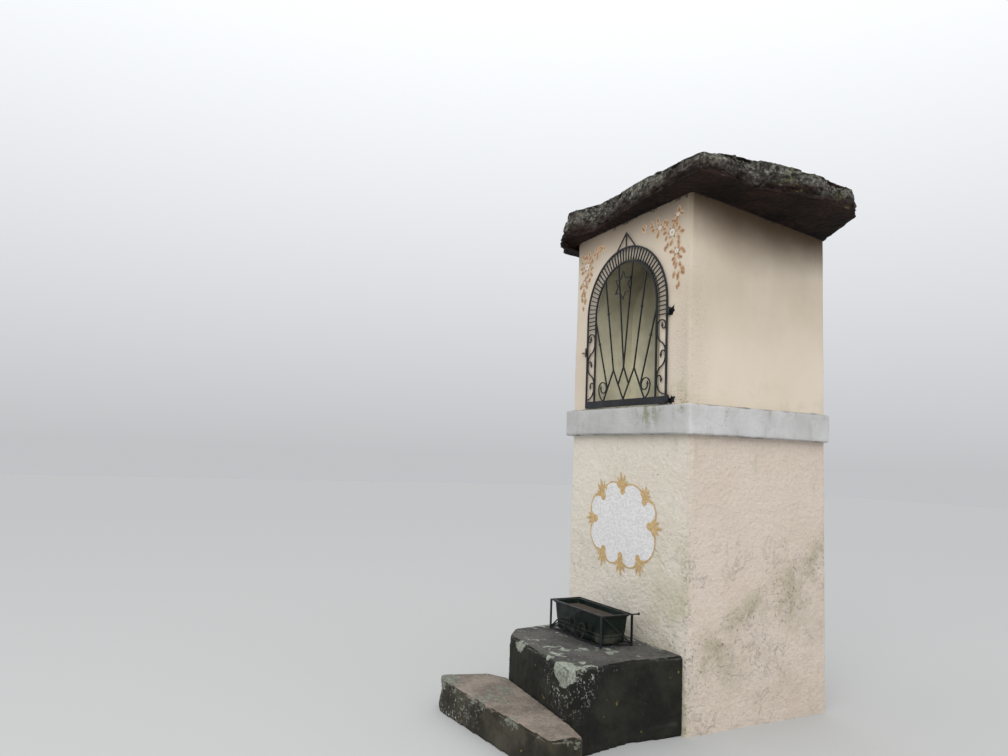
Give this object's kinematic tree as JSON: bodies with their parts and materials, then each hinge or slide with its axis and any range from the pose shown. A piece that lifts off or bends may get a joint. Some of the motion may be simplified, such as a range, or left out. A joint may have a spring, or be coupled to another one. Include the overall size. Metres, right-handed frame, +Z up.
{
  "type": "wayside shrine",
  "caption": "Plastered masonry wayside shrine: a gated arched niche under a rough stone slab, on a tall plinth, with step stones and a planter in a wire cradle.",
  "frame": {"origin": "middle of the plinth's underside, at the level of the ground in front", "axes": "+Z up, -Y out of the front with the gate, +X to the right as seen from the front"},
  "size_m": [1.6792, 2.0845, 3.0183],
  "materials": {
    "plaster": "matte",
    "cement": "matte",
    "roof_stone": "matte",
    "dark_step_stone": "matte",
    "pink_step_stone": "matte",
    "green_plastic": "satin",
    "soil": "matte",
    "iron": "satin",
    "rusty_iron": "matte"
  },
  "bodies": {
    "shrine": {"plinth": "plaster", "ledge": "cement", "left_pier": "plaster", "right_pier": "plaster", "niche_head": "plaster", "niche_back": "plaster", "roof_slab": "roof_stone", "upper_step": "dark_step_stone", "lower_step": "pink_step_stone", "planter_trough": "green_plastic", "planter_soil": "soil", "cradle_front": "iron", "cradle_back": "iron", "cradle_left_end": "iron", "cradle_right_end": "iron", "cradle_base": "iron", "upper_pintle": "iron", "lower_pintle": "iron", "wall_catch": "rusty_iron"},
    "gate": {"gate_outer_frame": "iron", "gate_inner_frame": "iron", "gate_bottom_bar": "iron", "gate_arch_bars": "iron", "gate_left_vine": "iron", "gate_right_vine": "iron", "gate_fan_rods": "iron", "gate_zigzag": "iron", "gate_left_spiral": "iron", "gate_right_spiral": "iron", "gate_star": "iron", "gate_finial": "iron", "gate_upper_eye": "iron", "gate_lower_eye": "iron", "gate_latch_plate": "iron"}
  },
  "joints": [
    {"name": "gate_hinge", "type": "hinge", "parent": "shrine", "child": "gate", "pos_m": [0.392, -0.5375, 2.2], "axis": [0, 0, 1], "range_deg": [0, 110]}
  ]
}
